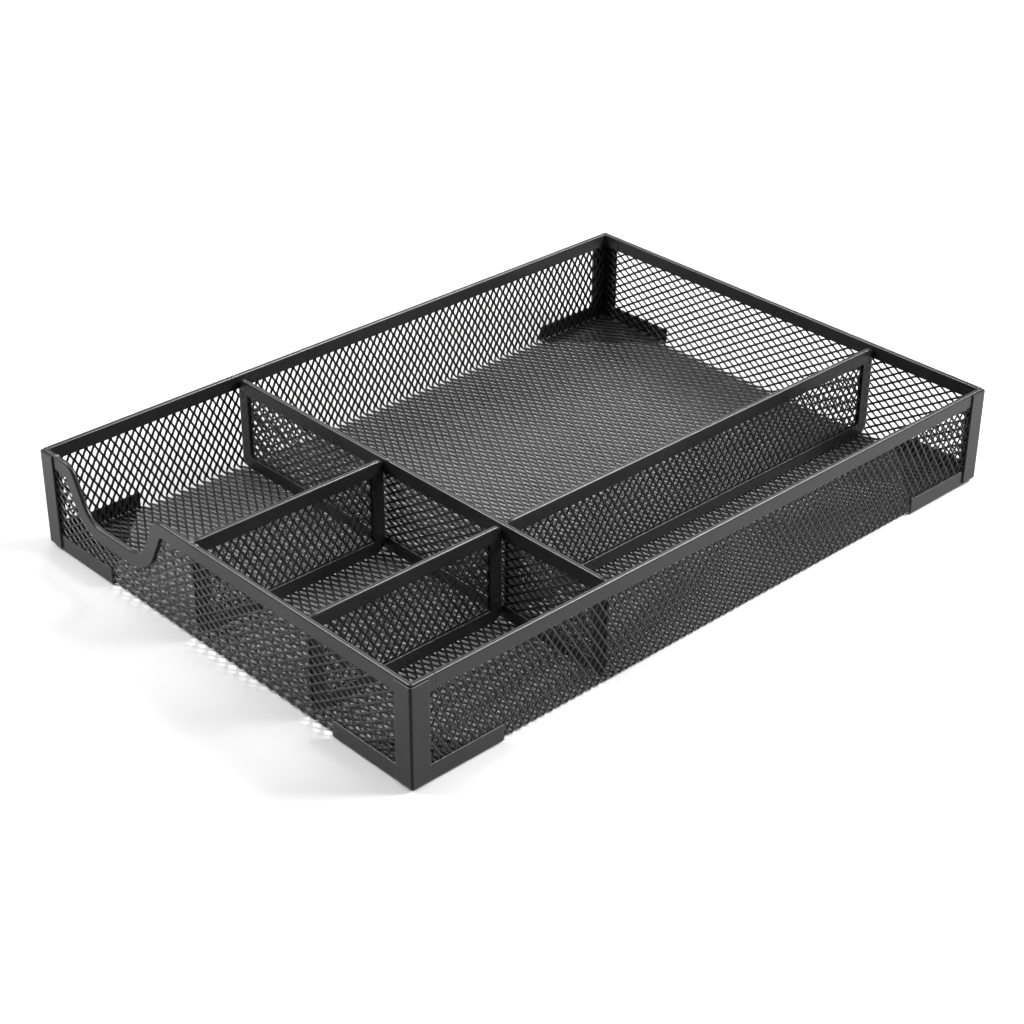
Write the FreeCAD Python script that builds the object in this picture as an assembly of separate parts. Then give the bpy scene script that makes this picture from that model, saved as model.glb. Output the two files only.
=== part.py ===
import FreeCAD
import Part

import math
import os

# A desk-drawer organiser tray in black steel: a basket folded from expanded mesh, a folded channel round
# its rim, a post and a foot at each corner, and four framed mesh dividers that make five compartments.
# Millimetres. +X runs along the length, +Y to the back, +Z up. The origin is the centre of the underside.
# The left end (-X) has the finger scoop. Mesh panels are plain plates of the mesh's overall thickness.

# Overall size
LENGTH = 356.0
WIDTH = 250.0
HEIGHT = 50.0

# Sheet and strip
SHEET = 0.7  # pressed strip of the rim, frames, posts and feet
MESH = 1.0  # overall thickness of the expanded mesh
CHANNEL = MESH + 2.0 * SHEET  # thickness of a strip folded over the mesh
CHANNEL_DEPTH = 7.0  # how far a folded strip reaches down each side of the mesh
CROWN_RADIUS = 1.15  # rounding along the fold of a channel

# Basket
FLOOR_BEND = 1.8  # outer radius where the floor turns up into the walls
CORNER_SEAM = 2.4  # how far each wall stops short of the outer corner
RIM_CORNER = 1.25  # outer corner radius of the rim in plan
RIM_INNER_CORNER = 0.4

# Joints between the two rim strips, measured from the nearest outside corner
FRONT_JOINT = 13.0
RIGHT_JOINT = 13.0
JOINT_GAP = 0.1

# Finger scoop in the left end wall, measured along Y from its middle
SCOOP_Y = 71.0
SCOOP_DEPTH = 24.0
SCOOP_SHOULDER = 36.0  # half width where the rim starts to dip
SCOOP_SHOULDER_RADIUS = 8.0
SCOOP_BASE = 11.0  # half width of the straight bottom
SCOOP_BASE_RADIUS = 13.0
SCOOP_END = 40.0  # half width of the rim piece that carries the scoop

# Corner posts and feet
POST_LEG = 9.5
POST_BOTTOM = 2.2
POST_TOP = 49.0
POST_CORNER = 1.3  # outer corner radius in plan
POST_EDGE = 0.4  # rounding of the outer edges at its top and bottom
FOOT_LEG = 48.0
FOOT_RISE = 8.7
FOOT_CORNER = 3.0  # outer corner radius in plan
FOOT_BEND = 1.6
FOOT_LIP = 0.3  # rounding along the top edge of its strips
FOOT_END_RADIUS = 2.0
FOOT_PLATE_LEG = 47.0

# Dividers
CROSS_X = -70.0
LONG_Y = -60.0
BACK_SHORT_Y = 16.5
DIVIDER_TOP = 49.0
FRAME_TOP_RADIUS = 4.0
FRAME_BOTTOM_RADIUS = 6.0
FRAME_WINDOW_RADIUS = 0.5

# Faces that follow from the sizes above
RIM_X = LENGTH / 2.0 - SHEET  # outer face of the rim at the ends
RIM_Y = WIDTH / 2.0 - SHEET
WALL_X = RIM_X - SHEET  # outer face of the mesh wall at the ends
WALL_Y = RIM_Y - SHEET
INNER_X = RIM_X - CHANNEL  # inner face of the rim, where the dividers end
INNER_Y = RIM_Y - CHANNEL
FLOOR_Z = SHEET  # underside of the mesh floor, which lies on the feet
DIVIDER_BOTTOM = FLOOR_Z + MESH

REACH = 20.0  # how far a cutting solid runs past what it cuts


def point(x, y, z):
    return FreeCAD.Vector(x, y, z)


def block(low, high):
    size = [b - a for a, b in zip(low, high)]
    return Part.makeBox(size[0], size[1], size[2], point(low[0], low[1], low[2]))


def plan_block(half_x, half_y, bottom, top, corner_radius):
    """An upright block centred on the Z axis, with its vertical edges rounded."""
    solid = block((-half_x, -half_y, bottom), (half_x, half_y, top))
    if corner_radius > 0.0:
        upright = [edge for edge in solid.Edges if abs(edge.tangentAt(edge.FirstParameter).z) > 0.9]
        solid = solid.makeFillet(corner_radius, upright)
    return solid


def edges_at_height(solid, height):
    """The edges that lie wholly in the level plane at this height."""
    box_of = [(edge, edge.BoundBox) for edge in solid.Edges]
    return [edge for edge, box in box_of if abs(box.ZMin - height) < 0.01 and abs(box.ZMax - height) < 0.01]


def prism_from_wire(wire, direction):
    return Part.Face(wire).extrude(direction)


def scoop_edges(inset):
    """The line of the rim's top across the scoop, moved down into the wall by inset, as edges in X = 0."""
    top = HEIGHT - inset
    base = HEIGHT - SCOOP_DEPTH - inset
    shoulder_radius = SCOOP_SHOULDER_RADIUS - inset
    base_radius = SCOOP_BASE_RADIUS + inset
    shoulder_z = HEIGHT - SCOOP_SHOULDER_RADIUS
    base_z = HEIGHT - SCOOP_DEPTH + SCOOP_BASE_RADIUS
    run = SCOOP_SHOULDER - SCOOP_BASE
    rise = shoulder_z - base_z
    span = math.hypot(run, rise)
    turn = math.acos((SCOOP_SHOULDER_RADIUS + SCOOP_BASE_RADIUS) / span) - math.atan2(rise, run)
    half_turn = (math.pi / 2.0 - turn) / 2.0

    def at(side, half_width, z):
        return point(0.0, SCOOP_Y + side * half_width, z)

    def on_arc(side, centre_y, centre_z, radius, angle):
        return at(side, centre_y + radius * math.cos(angle), centre_z + radius * math.sin(angle))

    edges = []
    for side in (-1.0, 1.0):
        shoulder = [
            on_arc(side, SCOOP_SHOULDER, shoulder_z, shoulder_radius, angle)
            for angle in (math.pi / 2.0, math.pi / 2.0 + half_turn, math.pi - turn)
        ]
        base_arc = [
            on_arc(side, SCOOP_BASE, base_z, base_radius, angle)
            for angle in (-turn, -turn - half_turn, -math.pi / 2.0)
        ]
        part_edges = [
            Part.LineSegment(at(side, SCOOP_END, top), shoulder[0]).toShape(),
            Part.Arc(shoulder[0], shoulder[1], shoulder[2]).toShape(),
            Part.LineSegment(shoulder[2], base_arc[0]).toShape(),
            Part.Arc(base_arc[0], base_arc[1], base_arc[2]).toShape(),
        ]
        edges.append(part_edges)
    bottom_edge = Part.LineSegment(at(-1.0, SCOOP_BASE, base), at(1.0, SCOOP_BASE, base)).toShape()
    return edges[0] + [bottom_edge] + edges[1][::-1]


def scoop_band(upper_inset, lower_inset, x_low, x_high):
    """The solid between two scoop lines, from x_low to x_high."""
    upper = scoop_edges(upper_inset)
    lower = scoop_edges(lower_inset)
    ends = []
    for side in (-1.0, 1.0):
        y = SCOOP_Y + side * SCOOP_END
        high = point(0.0, y, HEIGHT - upper_inset)
        low = point(0.0, y, HEIGHT - lower_inset)
        ends.append(Part.LineSegment(high, low).toShape())
    wire = Part.Wire(Part.__sortEdges__(upper + lower + ends))
    solid = prism_from_wire(wire, point(x_high - x_low, 0.0, 0.0))
    solid.translate(point(x_low, 0.0, 0.0))
    return solid


def space_above_scoop(inset, x_low, x_high):
    """Everything above the scoop line, for cutting the notch out of the mesh wall."""
    edges = scoop_edges(inset)
    low_left = point(0.0, SCOOP_Y - SCOOP_END, HEIGHT - inset)
    low_right = point(0.0, SCOOP_Y + SCOOP_END, HEIGHT - inset)
    high_left = low_left + point(0.0, 0.0, REACH)
    high_right = low_right + point(0.0, 0.0, REACH)
    closing = [
        Part.LineSegment(low_left, high_left).toShape(),
        Part.LineSegment(high_left, high_right).toShape(),
        Part.LineSegment(high_right, low_right).toShape(),
    ]
    wire = Part.Wire(Part.__sortEdges__(edges + closing))
    solid = prism_from_wire(wire, point(x_high - x_low, 0.0, 0.0))
    solid.translate(point(x_low, 0.0, 0.0))
    return solid


def make_basket():
    """Floor and four walls of one folded sheet, open at the corner seams and notched for the scoop."""
    outer = plan_block(WALL_X, WALL_Y, FLOOR_Z, HEIGHT - SHEET, 0.0)
    outer = outer.makeFillet(FLOOR_BEND, edges_at_height(outer, FLOOR_Z))
    floor_top = FLOOR_Z + MESH
    inner = plan_block(WALL_X - MESH, WALL_Y - MESH, floor_top, HEIGHT + REACH, 0.0)
    inner = inner.makeFillet(FLOOR_BEND - MESH, edges_at_height(inner, floor_top))
    basket = outer.cut(inner)
    for side_x in (-1.0, 1.0):
        for side_y in (-1.0, 1.0):
            seam = Part.makeBox(REACH, REACH, HEIGHT + REACH)
            seam.translate(point(WALL_X - CORNER_SEAM, WALL_Y - CORNER_SEAM, -REACH / 2.0))
            if side_x < 0.0:
                seam = seam.mirror(point(0.0, 0.0, 0.0), point(1.0, 0.0, 0.0))
            if side_y < 0.0:
                seam = seam.mirror(point(0.0, 0.0, 0.0), point(0.0, 1.0, 0.0))
            basket = basket.cut(seam)
    notch = space_above_scoop(SHEET, -WALL_X - REACH, -WALL_X + MESH + REACH)
    return basket.cut(notch)


def make_rim():
    """The whole folded channel round the rim, dipping through the scoop."""
    bottom = HEIGHT - CHANNEL_DEPTH
    outer = plan_block(RIM_X, RIM_Y, bottom, HEIGHT, RIM_CORNER)
    outer = outer.makeFillet(CROWN_RADIUS, edges_at_height(outer, HEIGHT))
    window = plan_block(INNER_X, INNER_Y, bottom - REACH, HEIGHT + REACH, RIM_INNER_CORNER)
    ring = outer.cut(window).Solids[0]
    inner_crown = []
    for edge in edges_at_height(ring, HEIGHT):
        middle = edge.valueAt((edge.FirstParameter + edge.LastParameter) / 2.0)
        if abs(middle.x) < INNER_X + 0.01 and abs(middle.y) < INNER_Y + 0.01:
            inner_crown.append(edge)
    ring = ring.makeFillet(CROWN_RADIUS, inner_crown)
    slot_outer = plan_block(WALL_X, WALL_Y, bottom - REACH, HEIGHT - SHEET, RIM_CORNER - SHEET)
    slot_core = plan_block(WALL_X - MESH, WALL_Y - MESH, bottom - 2.0 * REACH, HEIGHT, 0.0)
    ring = ring.cut(slot_outer.cut(slot_core))

    scoop_low = (-RIM_X - REACH, SCOOP_Y - SCOOP_END, -REACH)
    scoop_high = (-INNER_X + REACH, SCOOP_Y + SCOOP_END, HEIGHT + REACH)
    ring = ring.cut(block(scoop_low, scoop_high))
    band = scoop_band(0.0, CHANNEL_DEPTH, -RIM_X, -INNER_X)
    crown_line = Part.Wire(Part.__sortEdges__(scoop_edges(0.0)))
    crown_edges = []
    for edge in band.Edges:
        middle = edge.valueAt((edge.FirstParameter + edge.LastParameter) / 2.0)
        along_x = abs(edge.tangentAt(edge.FirstParameter).x) > 0.9
        flat_middle = Part.Vertex(point(0.0, middle.y, middle.z))
        if not along_x and crown_line.distToShape(flat_middle)[0] < 0.001:
            crown_edges.append(edge)
    band = band.makeFillet(CROWN_RADIUS, crown_edges)
    band = band.cut(scoop_band(SHEET, CHANNEL_DEPTH + 0.5, -WALL_X, -WALL_X + MESH))
    return ring.fuse(band).removeSplitter()


def make_rim_halves():
    """The rim as two bent strips: one round the left end and back, one round the front and right end."""
    rim = make_rim()
    joint_x = -LENGTH / 2.0 + FRONT_JOINT
    joint_y = WIDTH / 2.0 - RIGHT_JOINT

    def left_and_back(gap):
        end = LENGTH + REACH
        left = block((-end, -end, 0.0), (joint_x + gap, end, HEIGHT + REACH))
        back = block((-end, joint_y - gap, 0.0), (end, end, HEIGHT + REACH))
        return left.fuse(back)

    first = rim.common(left_and_back(0.0))
    second = rim.cut(left_and_back(JOINT_GAP))
    return first, second


def make_post():
    """A corner angle at +X +Y, which covers the rim's and the foot's outer corner."""
    corner_x = LENGTH / 2.0
    corner_y = WIDTH / 2.0
    outer = plan_block(corner_x, corner_y, POST_BOTTOM, POST_TOP, POST_CORNER)
    ends = edges_at_height(outer, POST_TOP) + edges_at_height(outer, POST_BOTTOM)
    outer = outer.makeFillet(POST_EDGE, ends)
    inner = plan_block(RIM_X, RIM_Y, POST_BOTTOM - 1.0, POST_TOP + 1.0, POST_CORNER - SHEET)
    shell = outer.cut(inner)
    keep_low = (corner_x - POST_LEG, corner_y - POST_LEG, 0.0)
    keep = block(keep_low, (corner_x + 1.0, corner_y + 1.0, HEIGHT))
    return shell.common(keep)


def make_foot():
    """A corner foot at +X +Y: a three-cornered plate under the floor with a low strip up each wall."""
    outer = plan_block(RIM_X, RIM_Y, 0.0, FOOT_RISE, FOOT_CORNER)
    outer = outer.makeFillet(FOOT_LIP, edges_at_height(outer, FOOT_RISE))
    outer = outer.makeFillet(FOOT_BEND, edges_at_height(outer, 0.0))
    inner = plan_block(WALL_X, WALL_Y, SHEET, FOOT_RISE + 1.0, FOOT_CORNER - SHEET)
    inner = inner.makeFillet(FOOT_BEND - SHEET, edges_at_height(inner, SHEET))
    shell = outer.cut(inner)

    plate_outline = Part.makePolygon(
        [
            point(RIM_X + 1.0, RIM_Y + 1.0, -1.0),
            point(RIM_X - FOOT_PLATE_LEG, RIM_Y + 1.0, -1.0),
            point(RIM_X - FOOT_PLATE_LEG, RIM_Y, -1.0),
            point(RIM_X, RIM_Y - FOOT_PLATE_LEG, -1.0),
            point(RIM_X + 1.0, RIM_Y - FOOT_PLATE_LEG, -1.0),
            point(RIM_X + 1.0, RIM_Y + 1.0, -1.0),
        ]
    )
    plan = prism_from_wire(plate_outline, point(0.0, 0.0, FOOT_RISE + 2.0))
    back_low = (RIM_X - FOOT_LEG, RIM_Y - FOOT_BEND, -1.0)
    back_strip = block(back_low, (RIM_X + 1.0, RIM_Y + 1.0, FOOT_RISE + 1.0))
    end_low = (RIM_X - FOOT_BEND, RIM_Y - FOOT_LEG, -1.0)
    end_strip = block(end_low, (RIM_X + 1.0, RIM_Y + 1.0, FOOT_RISE + 1.0))
    foot = shell.common(plan.fuse(back_strip).fuse(end_strip))

    # The strips' lower end corners are rounded, through the fold and the tip of the plate.
    strip_end_x = RIM_X - FOOT_LEG
    strip_end_y = RIM_Y - FOOT_LEG
    depth = 2.0 * FOOT_BEND
    radius = FOOT_END_RADIUS
    for along_x in (True, False):
        if along_x:
            low = (strip_end_x - 1.0, RIM_Y - depth, -1.0)
            high = (strip_end_x + radius, RIM_Y + 1.0, radius)
            centre = point(strip_end_x + radius, RIM_Y - depth - 1.0, radius)
            pin = Part.makeCylinder(radius, depth + 3.0, centre, point(0.0, 1.0, 0.0))
        else:
            low = (RIM_X - depth, strip_end_y - 1.0, -1.0)
            high = (RIM_X + 1.0, strip_end_y + radius, radius)
            centre = point(RIM_X - depth - 1.0, strip_end_y + radius, radius)
            pin = Part.makeCylinder(radius, depth + 3.0, centre, point(1.0, 0.0, 0.0))
        foot = foot.cut(block(low, high).cut(pin))
    return foot


def to_corner(solid, side_x, side_y):
    """A copy of a +X +Y corner piece at another corner."""
    copy = solid.copy()
    if side_x < 0:
        copy = copy.mirror(point(0.0, 0.0, 0.0), point(1.0, 0.0, 0.0))
    if side_y < 0:
        copy = copy.mirror(point(0.0, 0.0, 0.0), point(0.0, 1.0, 0.0))
    return copy


def divider_plate(length, thickness, inset, top_radius, bottom_radius):
    """An upright plate along X from 0 to length, its outline moved in by inset, rounded at its corners."""
    low = inset
    high = length - inset
    bottom = DIVIDER_BOTTOM + inset
    top = DIVIDER_TOP - inset
    plate = block((low, -thickness / 2.0, bottom), (high, thickness / 2.0, top))
    across = [edge for edge in plate.Edges if abs(edge.tangentAt(edge.FirstParameter).y) > 0.9]
    upper = [edge for edge in across if edge.BoundBox.ZMin > top - 0.01]
    plate = plate.makeFillet(top_radius, upper)
    across = [edge for edge in plate.Edges if abs(edge.tangentAt(edge.FirstParameter).y) > 0.9]
    lower = [edge for edge in across if edge.BoundBox.ZMax < bottom + 0.01 and edge.Length < thickness + 0.01]
    ends = [edge for edge in lower if min(edge.BoundBox.XMin - low, high - edge.BoundBox.XMax) < 0.01]
    return plate.makeFillet(bottom_radius, ends)


def make_divider(length):
    """One divider along X from 0 to length: the folded strip all round it, and the mesh inside."""
    plate = divider_plate(length, CHANNEL, 0.0, FRAME_TOP_RADIUS, FRAME_BOTTOM_RADIUS)
    rim_edges = []
    for edge in plate.Edges:
        box = edge.BoundBox
        if box.YMax - box.YMin < 0.01:
            rim_edges.append(edge)
    plate = plate.makeFillet(CROWN_RADIUS, rim_edges)
    window = divider_plate(length, CHANNEL + REACH, CHANNEL_DEPTH, FRAME_WINDOW_RADIUS, FRAME_WINDOW_RADIUS)
    panel = divider_plate(length, MESH, SHEET, FRAME_TOP_RADIUS - SHEET, FRAME_BOTTOM_RADIUS - SHEET)
    frame = plate.cut(window).cut(panel)
    return frame, panel


def place(solid, x, y, quarter_turns):
    copy = solid.copy()
    copy.rotate(point(0.0, 0.0, 0.0), point(0.0, 0.0, 1.0), 90.0 * quarter_turns)
    copy.translate(point(x, y, 0.0))
    return copy


parts = {}
parts["basket_mesh"] = make_basket()
parts["rim_left_back"], parts["rim_front_right"] = make_rim_halves()

post = make_post()
foot = make_foot()
for end_name, side_x in (("left", -1), ("right", 1)):
    for side_name, side_y in (("front", -1), ("back", 1)):
        parts["post_" + side_name + "_" + end_name] = to_corner(post, side_x, side_y)
        parts["foot_" + side_name + "_" + end_name] = to_corner(foot, side_x, side_y)

cross_frame, cross_panel = make_divider(2.0 * INNER_Y)
parts["cross_divider_frame"] = place(cross_frame, CROSS_X, -INNER_Y, 1)
parts["cross_divider_mesh"] = place(cross_panel, CROSS_X, -INNER_Y, 1)

long_start = CROSS_X + CHANNEL / 2.0
long_frame, long_panel = make_divider(INNER_X - long_start)
parts["long_divider_frame"] = place(long_frame, long_start, LONG_Y, 0)
parts["long_divider_mesh"] = place(long_panel, long_start, LONG_Y, 0)

short_frame, short_panel = make_divider(CROSS_X - CHANNEL / 2.0 + INNER_X)
for name, y in (("front_short_divider", LONG_Y), ("back_short_divider", BACK_SHORT_Y)):
    parts[name + "_frame"] = place(short_frame, -INNER_X, y, 0)
    parts[name + "_mesh"] = place(short_panel, -INNER_X, y, 0)

os.makedirs("parts", exist_ok=True)
for name, solid in parts.items():
    if solid.ShapeType == "Compound" and len(solid.Solids) == 1:
        solid = solid.Solids[0]
    box = solid.BoundBox
    print(name, solid.ShapeType, len(solid.Solids), solid.isValid(), round(solid.Volume, 1), len(solid.Faces))
    solid.exportStep(os.path.join("parts", name + ".step"))
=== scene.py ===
import math

import bpy
import bmesh
import numpy as np
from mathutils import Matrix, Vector


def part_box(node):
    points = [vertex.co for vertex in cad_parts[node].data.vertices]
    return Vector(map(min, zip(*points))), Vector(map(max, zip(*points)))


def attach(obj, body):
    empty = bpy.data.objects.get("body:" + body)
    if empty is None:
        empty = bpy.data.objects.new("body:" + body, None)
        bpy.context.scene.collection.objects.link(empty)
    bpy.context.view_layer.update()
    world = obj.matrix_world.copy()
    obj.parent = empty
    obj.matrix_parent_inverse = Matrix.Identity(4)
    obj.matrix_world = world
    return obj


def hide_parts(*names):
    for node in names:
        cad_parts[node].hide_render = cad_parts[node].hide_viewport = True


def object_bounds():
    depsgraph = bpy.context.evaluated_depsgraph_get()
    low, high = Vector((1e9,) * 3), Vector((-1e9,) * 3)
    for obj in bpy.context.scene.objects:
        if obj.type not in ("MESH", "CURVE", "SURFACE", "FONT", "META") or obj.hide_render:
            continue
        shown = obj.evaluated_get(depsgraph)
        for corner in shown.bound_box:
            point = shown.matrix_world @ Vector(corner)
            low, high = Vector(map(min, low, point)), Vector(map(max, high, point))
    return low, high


# A desk-drawer organiser tray in black powder-coated steel. The strips come from the CAD frame; the
# expanded mesh is built here strand by strand, because the CAD has plain plates in its place.

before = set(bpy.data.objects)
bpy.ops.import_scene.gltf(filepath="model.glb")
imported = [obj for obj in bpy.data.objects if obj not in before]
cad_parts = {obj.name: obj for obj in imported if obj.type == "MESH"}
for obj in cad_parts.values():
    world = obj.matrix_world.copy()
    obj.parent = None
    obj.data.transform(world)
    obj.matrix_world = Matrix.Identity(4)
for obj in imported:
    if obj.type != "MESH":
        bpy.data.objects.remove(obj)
cad_low, cad_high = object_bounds()

MM = 0.001


# ---------------------------------------------------------------------------------------------- sizes

def size_of(node):
    low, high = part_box(node)
    return Vector(low), Vector(high)


basket_low, basket_high = size_of("basket_mesh")
SHEET = 0.7 * MM  # steel strip
MESH = 1.0 * MM  # thickness of the mesh plates in the CAD
FLOOR_BEND = 1.8 * MM  # outer radius of the fold between floor and wall
SEAM = 2.4 * MM  # how far a wall stops short of the basket's corner

WALL_X = basket_high.x
WALL_Y = basket_high.y
FOLD_RADIUS = FLOOR_BEND - MESH / 2.0
FLAT_X = WALL_X - FLOOR_BEND
FLAT_Y = WALL_Y - FLOOR_BEND
FLOOR_Z = basket_low.z + MESH / 2.0
MESH_TOP = basket_high.z - 0.6 * MM

# Expanded mesh. The short way of a diamond runs along X on the floor, the long way along Y.
SHORT_WAY = 4.38 * MM
LONG_WAY = 6.95 * MM
STRAND_WIDTH = 1.12 * MM
STRAND_THICKNESS = 0.74 * MM
STRAND_TILT = math.radians(20.0)
BOND = 0.7 * MM  # length over which two strands stay joined
BOND_OVERLAP = 0.53  # how far apart joined strands lie, in strand widths
SHORTEST = 1.2 * MM  # strands shorter than this are left out
STATION_GAP = 0.12 * MM  # stations along a strand are never closer than this

# Finger scoop in the left end wall
SCOOP_Y = 71.0 * MM
SCOOP_TOP = cad_high[2]
SCOOP_DEPTH = 24.0 * MM
SHOULDER = 36.0 * MM
SHOULDER_RADIUS = 8.0 * MM
BASE = 11.0 * MM
BASE_RADIUS = 13.0 * MM
SCOOP_COVER = 3.0 * MM  # how far inside the folded rim the mesh ends


# ------------------------------------------------------------------------------------------ materials

def new_material(name):
    material = bpy.data.materials.new(name)
    material.use_nodes = True
    tree = material.node_tree
    tree.nodes.clear()
    return material, tree


def add(tree, kind, **values):
    node = tree.nodes.new(kind)
    for key, value in values.items():
        setattr(node, key, value)
    return node


def noise(tree, coordinates, scale, detail=2.0, roughness=0.5):
    node = add(tree, "ShaderNodeTexNoise")
    node.inputs["Scale"].default_value = scale
    node.inputs["Detail"].default_value = detail
    node.inputs["Roughness"].default_value = roughness
    tree.links.new(coordinates, node.inputs["Vector"])
    return node.outputs["Fac"]


def remap(tree, value, low_in, high_in, low_out, high_out):
    node = add(tree, "ShaderNodeMapRange")
    for name, number in (
        ("From Min", low_in),
        ("From Max", high_in),
        ("To Min", low_out),
        ("To Max", high_out),
    ):
        node.inputs[name].default_value = number
    tree.links.new(value, node.inputs["Value"])
    return node.outputs["Result"]


def calculate(tree, operation, first, second):
    node = add(tree, "ShaderNodeMath", operation=operation)
    for index, value in enumerate((first, second)):
        if isinstance(value, (int, float)):
            node.inputs[index].default_value = value
        else:
            tree.links.new(value, node.inputs[index])
    return node.outputs[0]


def mix_colours(tree, factor, first, second):
    node = add(tree, "ShaderNodeMix", data_type="RGBA")
    tree.links.new(factor, node.inputs[0])
    for index, value in ((6, first), (7, second)):
        if isinstance(value, tuple):
            node.inputs[index].default_value = value
        else:
            tree.links.new(value, node.inputs[index])
    return node.outputs[2]


# Product of the normal's X and Y, which is 0 on a flat side and 0.5 half way round an upright corner
CORNER_TURN = (0.22, 0.42)
CORNER_GLOSS = 0.25  # what is left of the gloss there


def dull_corners(tree, specular):
    """Specular level, lower where an upright fold turns the corner: the coat is thin and dull there."""
    normal = add(tree, "ShaderNodeNewGeometry").outputs["Normal"]
    split = add(tree, "ShaderNodeSeparateXYZ")
    tree.links.new(normal, split.inputs[0])
    both = calculate(tree, "MULTIPLY", split.outputs["X"], split.outputs["Y"])
    turned = remap(tree, calculate(tree, "ABSOLUTE", both, 0.0), *CORNER_TURN, 0.0, 1.0)
    return remap(tree, turned, 0.0, 1.0, specular, CORNER_GLOSS * specular)


def powder_coat(
    name, dark, light, rough_low, rough_high, edge_radius, soft_edge, bump_distance, specular
):
    """Satin powder coat: fine orange peel, cloudy gloss and light specks.

    edge_radius above zero adds rub marks along the edges, within that distance of them. soft_edge above zero
    rounds the look of the edges by that radius and dulls the upright corners.
    """
    material, tree = new_material(name)
    out = add(tree, "ShaderNodeOutputMaterial")
    shader = add(tree, "ShaderNodeBsdfPrincipled")
    tree.links.new(shader.outputs[0], out.inputs[0])
    coordinates = add(tree, "ShaderNodeTexCoord").outputs["Object"]

    cloud = noise(tree, coordinates, 38.0, 3.0, 0.55)
    speck = noise(tree, coordinates, 900.0, 2.0, 0.6)
    peel = noise(tree, coordinates, 1500.0, 2.0, 0.5)
    ripple = noise(tree, coordinates, 260.0, 2.0, 0.5)

    colour = mix_colours(tree, remap(tree, cloud, 0.3, 0.7, 0.0, 1.0), dark, light)
    speck_mask = remap(tree, speck, 0.62, 0.78, 0.0, 0.5)
    speck_colour = tuple(min(1.0, value * 1.9) for value in light[:3]) + (1.0,)
    colour = mix_colours(tree, speck_mask, colour, speck_colour)

    rough = remap(tree, cloud, 0.3, 0.7, rough_low, rough_high)
    rough = calculate(tree, "ADD", rough, remap(tree, speck, 0.3, 0.7, -0.03, 0.03))

    if edge_radius > 0.0:
        bevel = add(tree, "ShaderNodeBevel", samples=4)
        bevel.inputs["Radius"].default_value = edge_radius
        geometry = add(tree, "ShaderNodeNewGeometry")
        dot = add(tree, "ShaderNodeVectorMath", operation="DOT_PRODUCT")
        tree.links.new(bevel.outputs[0], dot.inputs[0])
        tree.links.new(geometry.outputs["Normal"], dot.inputs[1])
        edge = remap(tree, dot.outputs["Value"], 0.97, 0.8, 0.0, 1.0)  # 1 where the surface turns sharply
        rub = remap(tree, noise(tree, coordinates, 120.0, 4.0, 0.65), 0.42, 0.68, 0.0, 1.0)
        worn = calculate(tree, "MULTIPLY", edge, rub)
        worn_colour = tuple(value * 3.2 for value in light[:3]) + (1.0,)
        colour = mix_colours(tree, worn, colour, worn_colour)
        rough = calculate(tree, "SUBTRACT", rough, calculate(tree, "MULTIPLY", worn, 0.1))

    tree.links.new(colour, shader.inputs["Base Color"])
    tree.links.new(rough, shader.inputs["Roughness"])
    shader.inputs["Specular IOR Level"].default_value = specular
    if soft_edge > 0.0:
        tree.links.new(dull_corners(tree, specular), shader.inputs["Specular IOR Level"])

    height = calculate(tree, "ADD", calculate(tree, "MULTIPLY", peel, 0.5), ripple)
    bump = add(tree, "ShaderNodeBump")
    bump.inputs["Strength"].default_value = 0.35
    bump.inputs["Distance"].default_value = bump_distance
    tree.links.new(height, bump.inputs["Height"])
    if soft_edge > 0.0:
        rounded = add(tree, "ShaderNodeBevel", samples=8)
        rounded.inputs["Radius"].default_value = soft_edge
        tree.links.new(rounded.outputs[0], bump.inputs["Normal"])
    tree.links.new(bump.outputs[0], shader.inputs["Normal"])
    return material


strip_black = powder_coat(
    "strip_black",
    dark=(0.008, 0.008, 0.0083, 1.0),
    light=(0.012, 0.012, 0.0123, 1.0),
    rough_low=0.27,
    rough_high=0.35,
    edge_radius=0.5 * MM,
    soft_edge=0.7 * MM,
    bump_distance=0.06 * MM,
    specular=0.34,
)
mesh_black = powder_coat(
    "mesh_black",
    dark=(0.008, 0.008, 0.0083, 1.0),
    light=(0.014, 0.014, 0.0143, 1.0),
    rough_low=0.26,
    rough_high=0.36,
    edge_radius=0.0,
    soft_edge=0.0,
    bump_distance=0.05 * MM,
    specular=0.36,
)
# Weld marks: a lighter grey than the black coat, which is a painted highlight standing in for the glint on
# the small domes
weld_painted_highlight = powder_coat(
    "weld_painted_highlight",
    dark=(0.09, 0.09, 0.09, 1.0),
    light=(0.16, 0.16, 0.16, 1.0),
    rough_low=0.28,
    rough_high=0.36,
    edge_radius=0.0,
    soft_edge=0.0,
    bump_distance=0.06 * MM,
    specular=0.5,
)


# -------------------------------------------------------------------------------------- expanded mesh

SECTION = np.array(
    [
        (-0.5, 0.36),
        (-0.5, -0.36),
        (-0.4, -0.5),
        (0.4, -0.5),
        (0.5, -0.36),
        (0.5, 0.36),
        (0.4, 0.5),
        (-0.4, 0.5),
    ]
)  # outline of a strand across its run, in widths and thicknesses: a rectangle with its corners taken off


def strand_wave(index, along):
    """+1 where the strand joins the column before it, -1 where it joins the next, and a slope between."""
    step = LONG_WAY / 2.0
    hold = BOND / 2.0 / step
    place = along / step
    row = np.floor(place)
    part = place - row
    slope = np.clip((part - hold) / (1.0 - 2.0 * hold), 0.0, 1.0)
    sign = np.where((index + row) % 2 == 0, 1.0, -1.0)
    return sign * (1.0 - 2.0 * slope)


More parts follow.
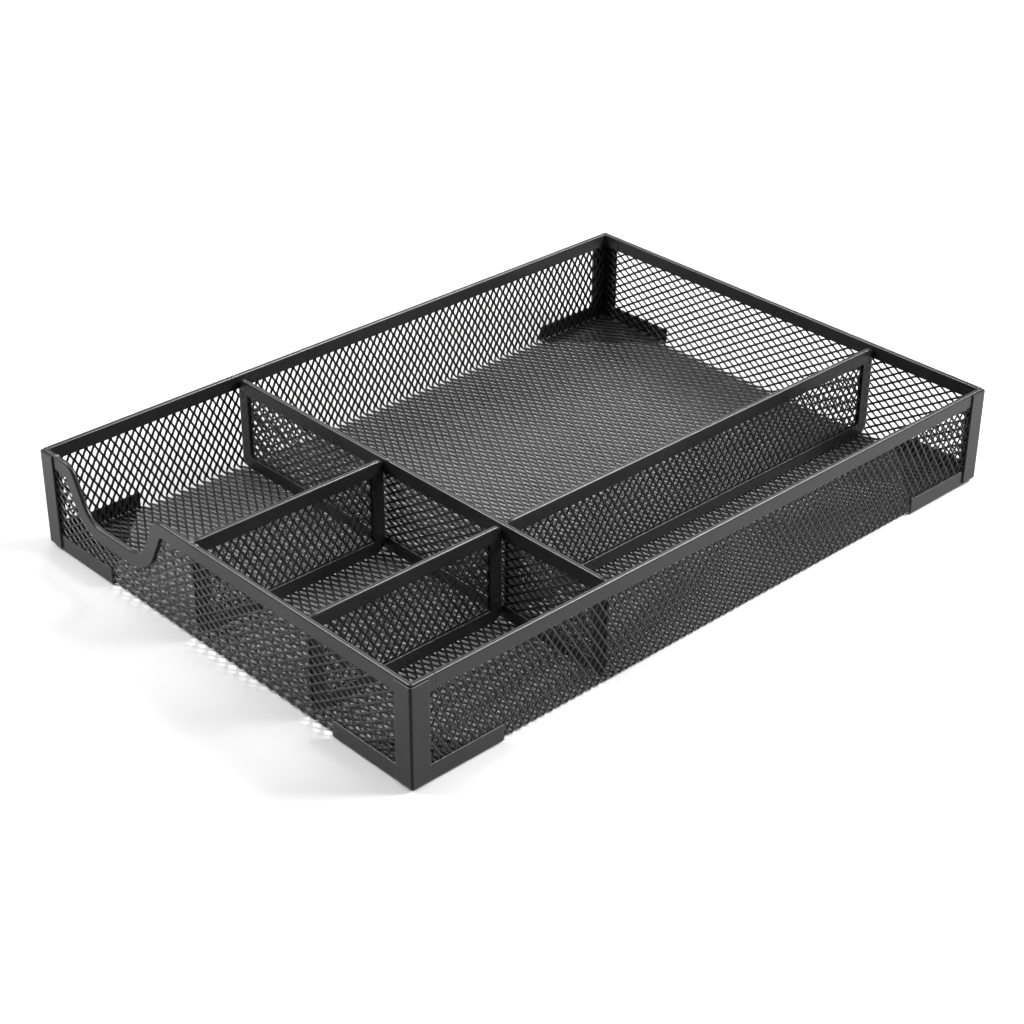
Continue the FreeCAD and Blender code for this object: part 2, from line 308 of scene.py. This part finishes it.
def strand_rings(start, end, folds):
    """Stations along a strand: its ends, the ends of each bond, and steps round each fold of the sheet."""
    step = LONG_WAY / 2.0
    first = math.ceil(start / step) - 1
    last = math.floor(end / step) + 1
    rows = np.arange(first, last + 1) * step
    stations = np.concatenate([rows - BOND / 2.0, rows + BOND / 2.0, folds])
    stations = np.sort(stations)
    stations = stations[(stations > start + STATION_GAP) & (stations < end - STATION_GAP)]
    kept = [start]
    for station in stations:
        if station - kept[-1] > STATION_GAP:
            kept.append(station)
    return np.array(kept + [end])


class StrandMesh:
    """Collects strands as closed eight-sided tubes, placed by one mapping of the flat sheet."""

    def __init__(self, mapping, folds=()):
        self.mapping = mapping
        self.folds = np.array(folds)
        self.points = []
        self.quads = []
        self.caps = []
        self.count = 0

    def strand(self, index, start, end):
        """Add the strand of one half column from start to end along the sheet, unless it is too short."""
        if end - start < SHORTEST:
            return
        along = strand_rings(start, end, self.folds)
        wave = strand_wave(index, along)
        column = SHORT_WAY / 2.0
        half = STRAND_WIDTH / 2.0 * BOND_OVERLAP
        reach = column / 2.0 - half * math.cos(STRAND_TILT)
        centre = (index + 0.5) * column - wave * reach
        lift = wave * half * math.sin(STRAND_TILT)
        wide = SECTION[:, 0] * STRAND_WIDTH
        thick = SECTION[:, 1] * STRAND_THICKNESS
        across = centre[:, None] + wide * math.cos(STRAND_TILT) - thick * math.sin(STRAND_TILT)
        normal = lift[:, None] + wide * math.sin(STRAND_TILT) + thick * math.cos(STRAND_TILT)
        run = np.repeat(along[:, None], len(SECTION), axis=1)
        placed = self.mapping(across, run, normal)
        self.points.append(placed.reshape(-1, 3))
        rings, sides = run.shape
        ring = np.arange(rings - 1)[:, None] * sides + self.count
        side = np.arange(sides)[None, :]
        after = (side + 1) % sides
        quads = np.stack([ring + side, ring + after, ring + sides + after, ring + sides + side], axis=2)
        self.quads.append(quads.reshape(-1, 4))
        self.caps.append([self.count + k for k in range(sides)][::-1])
        self.caps.append([self.count + (rings - 1) * sides + k for k in range(sides)])
        self.count += rings * sides

    def build(self, name, flip):
        """Make the object. flip turns the faces over, for mappings that mirror the sheet."""
        points = np.concatenate(self.points)
        quads = np.concatenate(self.quads)
        faces = [list(map(int, quad)) for quad in quads] + self.caps
        if flip:
            faces = [face[::-1] for face in faces]
        mesh = bpy.data.meshes.new(name)
        mesh.from_pydata(points.tolist(), [], faces)
        smooth = np.ones(len(faces), dtype=bool)
        smooth[len(quads):] = False
        mesh.polygons.foreach_set("use_smooth", smooth)
        mesh.update()
        made = bpy.data.objects.new(name, mesh)
        bpy.context.scene.collection.objects.link(made)
        mesh.materials.append(mesh_black)
        return made


def fold(length, flat):
    """Where a distance along the folded sheet lies: outward, up, and the fold's angle there."""
    side = np.sign(length)
    reach = np.abs(length)
    angle = np.clip((reach - flat) / FOLD_RADIUS, 0.0, math.pi / 2.0)
    rest = np.maximum(reach - flat - FOLD_RADIUS * math.pi / 2.0, 0.0)
    out = np.minimum(reach, flat) + FOLD_RADIUS * np.sin(angle)
    up = FLOOR_Z + FOLD_RADIUS * (1.0 - np.cos(angle)) + rest
    return side * out, up, side * angle


def floor_and_sides(across, run, normal):
    """The floor with the front and back walls: strands run along Y and up the walls."""
    out, up, angle = fold(run, FLAT_Y)
    return np.stack([across, out - normal * np.sin(angle), up + normal * np.cos(angle)], axis=-1)


def ends(across, run, normal):
    """The end walls: the sheet folds along X, the strands run along Y."""
    out, up, angle = fold(across, FLAT_X)
    return np.stack([out - normal * np.sin(angle), run, up + normal * np.cos(angle)], axis=-1)


def scoop_half_width(height):
    """Half the width of the scoop at this height, measured to the end of the mesh inside the rim."""
    shoulder_z = SCOOP_TOP - SHOULDER_RADIUS
    base_z = SCOOP_TOP - SCOOP_DEPTH + BASE_RADIUS
    run = SHOULDER - BASE
    rise = shoulder_z - base_z
    span = math.hypot(run, rise)
    turn = math.acos((SHOULDER_RADIUS + BASE_RADIUS) / span) - math.atan2(rise, run)
    shoulder = SHOULDER_RADIUS - SCOOP_COVER
    base = BASE_RADIUS + SCOOP_COVER
    low_touch = base_z - base * math.sin(turn)
    high_touch = shoulder_z + shoulder * math.sin(turn)
    if height < base_z - base:
        return 0.0
    if height < low_touch:
        return BASE + math.sqrt(base**2 - (base_z - height) ** 2)
    if height < high_touch:
        low_half = BASE + base * math.cos(turn)
        high_half = SHOULDER - shoulder * math.cos(turn)
        share = (height - low_touch) / (high_touch - low_touch)
        return low_half + (high_half - low_half) * share
    drop = min(height - shoulder_z, shoulder)
    return SHOULDER - math.sqrt(shoulder**2 - drop**2)


column = SHORT_WAY / 2.0
fold_length = FOLD_RADIUS * math.pi / 2.0
wall_length = fold_length + (MESH_TOP - FLOOR_Z - FOLD_RADIUS)
top_run = FLAT_Y + wall_length
top_across = FLAT_X + wall_length


def mitre_start(distance):
    """How far along the fold a wall starts, where the other wall's face is this far away."""
    if distance >= FOLD_RADIUS:
        return 0.0
    return FOLD_RADIUS * math.asin(1.0 - distance / FOLD_RADIUS)


fold_steps = [FLAT_Y + fold_length * step / 4.0 for step in range(5)]
fold_steps = [side * value for side in (-1.0, 1.0) for value in fold_steps]
BANDS = ("left", "middle_left", "middle_right", "right")
band_width = 2.0 * WALL_X / len(BANDS)
bands = [StrandMesh(floor_and_sides, fold_steps) for _ in BANDS]
last_column = int((WALL_X - SEAM - STRAND_WIDTH) / column)
for index in range(-last_column - 1, last_column + 1):
    middle = (index + 0.5) * column
    target = bands[min(len(BANDS) - 1, int((middle + WALL_X) / band_width))]
    if abs(middle) <= FLAT_X:
        target.strand(index, -top_run, top_run)
    elif abs(middle) < WALL_X - SEAM:
        begin = FLAT_Y + mitre_start(WALL_X - MESH / 2.0 - abs(middle))
        target.strand(index, begin, top_run)
        target.strand(index, -top_run, -begin)
basket = [band.build("basket_mesh_" + name, flip=True) for name, band in zip(BANDS, bands)]

end_walls = StrandMesh(ends)
for side in (-1, 1):
    first = math.floor(FLAT_X / column)
    for step in range(first, int(top_across / column) + 1):
        index = step if side > 0 else -step - 1
        middle = abs((index + 0.5) * column)
        if middle <= FLAT_X or middle > top_across:
            continue
        out, up, angle = fold(np.array([middle]), FLAT_X)
        off_wall = FLAT_X + FOLD_RADIUS - float(out[0])
        limit = min(WALL_Y - SEAM, WALL_Y - MESH / 2.0 - off_wall)
        gap = scoop_half_width(float(up[0])) if side < 0 else 0.0
        if gap <= 0.0:
            end_walls.strand(index, -limit, limit)
        else:
            end_walls.strand(index, -limit, SCOOP_Y - gap)
            end_walls.strand(index, SCOOP_Y + gap, limit)
basket.append(end_walls.build("basket_mesh_ends", flip=True))


# How far the strands end inside the panel: its top and bottom where it runs along X, its ends along Y
INSET_X = 0.3 * MM
INSET_Y = 3.0 * MM


def divider_along_x(node):
    """A flat panel in a divider that runs along X: the long way of the diamonds stands up."""
    low, high = size_of(node)
    middle_y = (low.y + high.y) / 2.0
    base_x = low.x
    base_z = low.z

    def upright(across, run, normal):
        return np.stack([base_x + across, middle_y + normal, base_z + run], axis=-1)

    panel = StrandMesh(upright)
    length = high.x - low.x
    height = high.z - low.z
    for index in range(1, int(length / column) - 1):
        panel.strand(index, INSET_X, height - INSET_X)
    return panel.build(node.replace("_mesh", "_strands"), flip=False)


def divider_along_y(node):
    """A flat panel in a divider that runs along Y: the long way of the diamonds lies level."""
    low, high = size_of(node)
    middle_x = (low.x + high.x) / 2.0
    base_y = low.y
    base_z = low.z

    def upright(across, run, normal):
        return np.stack([middle_x + normal, base_y + run, base_z + across], axis=-1)

    panel = StrandMesh(upright)
    length = high.y - low.y
    height = high.z - low.z
    for index in range(1, int(height / column) - 1):
        panel.strand(index, INSET_Y, length - INSET_Y)
    return panel.build(node.replace("_mesh", "_strands"), flip=False)


panels = {
    "cross_divider_mesh": divider_along_y("cross_divider_mesh"),
    "long_divider_mesh": divider_along_x("long_divider_mesh"),
    "front_short_divider_mesh": divider_along_x("front_short_divider_mesh"),
    "back_short_divider_mesh": divider_along_x("back_short_divider_mesh"),
}

for piece in basket:
    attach(piece, "root")
    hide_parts("basket_mesh")
for node, piece in panels.items():
    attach(piece, "root")
    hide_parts(node)


# ----------------------------------------------------------------------------------------- weld marks

# Outlines from the middle to the edge: radius and height pairs in millimetres
BEAD = [(0.0, 0.62), (0.22, 0.59), (0.44, 0.48), (0.62, 0.3), (0.74, 0.1), (0.82, -0.08)]
RING = [(0.0, 0.05), (0.3, 0.08), (0.5, 0.28), (0.7, 0.36), (0.9, 0.22), (1.05, -0.06)]
MARK_SIDES = 20


def weld_mark(name, profile, place, seed):
    """A small round mark on top of a strip: its outline turned about Z and left a little uneven."""
    rng = np.random.default_rng(seed)
    sides = MARK_SIDES
    turn = np.arange(sides) * 2.0 * math.pi / sides
    uneven = 1.0 + 0.06 * np.sin(2.0 * turn + rng.uniform(0.0, 6.0)) + 0.04 * np.sin(3.0 * turn)
    points = [(0.0, 0.0, profile[0][1] * MM)]
    for radius, height in profile[1:]:
        for angle, stretch in zip(turn, uneven):
            reach = radius * stretch * MM
            points.append((reach * math.cos(angle), reach * math.sin(angle), height * MM))
    faces = [(0, 1 + k, 1 + (k + 1) % sides) for k in range(sides)]
    for ring in range(len(profile) - 2):
        inner = 1 + ring * sides
        outer = inner + sides
        for k in range(sides):
            after = (k + 1) % sides
            faces.append((inner + k, outer + k, outer + after, inner + after))
    last = 1 + (len(profile) - 2) * sides
    faces.append([last + k for k in range(sides)][::-1])
    mesh = bpy.data.meshes.new(name)
    mesh.from_pydata(points, [], faces)
    mesh.polygons.foreach_set("use_smooth", [True] * len(faces))
    mesh.update()
    made = bpy.data.objects.new(name, mesh)
    made.location = place
    bpy.context.scene.collection.objects.link(made)
    # The mark's lighter grey is a painted highlight
    mesh.materials.append(weld_painted_highlight)
    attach(made, "root")


# The marks sit on top of the rims and of the cross divider's frame
rim_top = cad_high[2]
rim_x = cad_low[0] + 1.9 * MM  # the middle of the left rim
frame_top = size_of("cross_divider_frame")[1].z
cross_left = size_of("cross_divider_frame")[0].x
weld_mark("weld_left_rim_1", BEAD, (rim_x, 14.2 * MM, rim_top), 1)
weld_mark("weld_left_rim_2", BEAD, (rim_x, 10.4 * MM, rim_top), 2)
weld_mark("weld_back_rim", BEAD, (cross_left - 1.6 * MM, cad_high[1] - 2.2 * MM, rim_top - 0.1 * MM), 3)
weld_mark("weld_cross_divider_1", BEAD, (cross_left + 0.5 * MM, 13.9 * MM, frame_top), 4)
weld_mark("mark_left_rim", RING, (rim_x, 113.2 * MM, rim_top), 5)


# --------------------------------------------------------------------------------- strips from the CAD

for name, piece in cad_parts.items():
    if name.endswith("_mesh"):
        continue
    piece.data.materials.clear()
    piece.data.materials.append(strip_black)


# ------------------------------------------------------------------------------ floor, light and camera

FLOOR_HALF = 4.0
FLOOR_CELLS = 8


def make_floor():
    mesh = bpy.data.meshes.new("floor")
    made = bmesh.new()
    bmesh.ops.create_grid(made, x_segments=FLOOR_CELLS, y_segments=FLOOR_CELLS, size=FLOOR_HALF)
    made.to_mesh(mesh)
    made.free()
    floor = bpy.data.objects.new("floor", mesh)
    bpy.context.scene.collection.objects.link(floor)
    floor.location = (0.0, 0.0, cad_low[2])
    material, tree = new_material("floor_white")
    out = add(tree, "ShaderNodeOutputMaterial")
    shader = add(tree, "ShaderNodeBsdfPrincipled")
    tree.links.new(shader.outputs[0], out.inputs[0])
    coordinates = add(tree, "ShaderNodeTexCoord").outputs["Object"]
    cloud = noise(tree, coordinates, 3.0, 2.0, 0.5)
    colour = mix_colours(tree, cloud, (0.48, 0.48, 0.48, 1.0), (0.51, 0.51, 0.51, 1.0))
    tree.links.new(colour, shader.inputs["Base Color"])
    shader.inputs["Roughness"].default_value = 0.9
    shader.inputs["Specular IOR Level"].default_value = 0.1
    shader.inputs["Emission Color"].default_value = (1.0, 1.0, 1.0, 1.0)
    shader.inputs["Emission Strength"].default_value = 0.03
    mesh.materials.append(material)


LIGHT_AIM = Vector((0.0, 0.0, 0.02))


def make_world(strength):
    world = bpy.data.worlds.new("studio")
    world.use_nodes = True
    background = world.node_tree.nodes["Background"]
    background.inputs["Color"].default_value = (1.0, 1.0, 1.0, 1.0)
    background.inputs["Strength"].default_value = strength
    bpy.context.scene.world = world


def softbox(name, place, width, height, power):
    """A rectangular lamp that looks at the tray."""
    light = bpy.data.lights.new(name, "AREA")
    light.shape = "RECTANGLE"
    light.size = width
    light.size_y = height
    light.energy = power
    made = bpy.data.objects.new(name, light)
    made.location = place
    direction = LIGHT_AIM - Vector(place)
    made.rotation_euler = direction.to_track_quat("-Z", "Y").to_euler()
    made.visible_camera = False
    bpy.context.scene.collection.objects.link(made)


make_floor()
make_world(0.25)
softbox("right", (0.911, -0.82, 1.048), 0.60, 0.60, 53.0)
softbox("left", (-0.836, 0.896, 1.048), 0.60, 0.60, 29.0)
softbox("back", (0.932, 0.965, 0.891), 0.90, 0.50, 9.0)
softbox("top", (-0.2, -0.2, 4.0), 3.00, 3.00, 98.0)

# The front left corner is nearest the camera, which looks down on the tray
CAMERA_PLACE = (-0.6066, -0.6323, 0.5179)
CAMERA_TURN = (59.404, -0.294, -43.249)
SENSOR = 36.0
LENS = 76.785

camera_data = bpy.data.cameras.new("camera")
camera_data.sensor_width = SENSOR
camera_data.lens = LENS
camera_data.clip_start = 0.05
camera_data.clip_end = 30.0
camera = bpy.data.objects.new("camera", camera_data)
camera.location = CAMERA_PLACE
camera.rotation_euler = [math.radians(angle) for angle in CAMERA_TURN]
bpy.context.scene.collection.objects.link(camera)
bpy.context.scene.camera = camera
bpy.context.scene.view_settings.view_transform = "Standard"
bpy.context.scene.view_settings.look = "None"
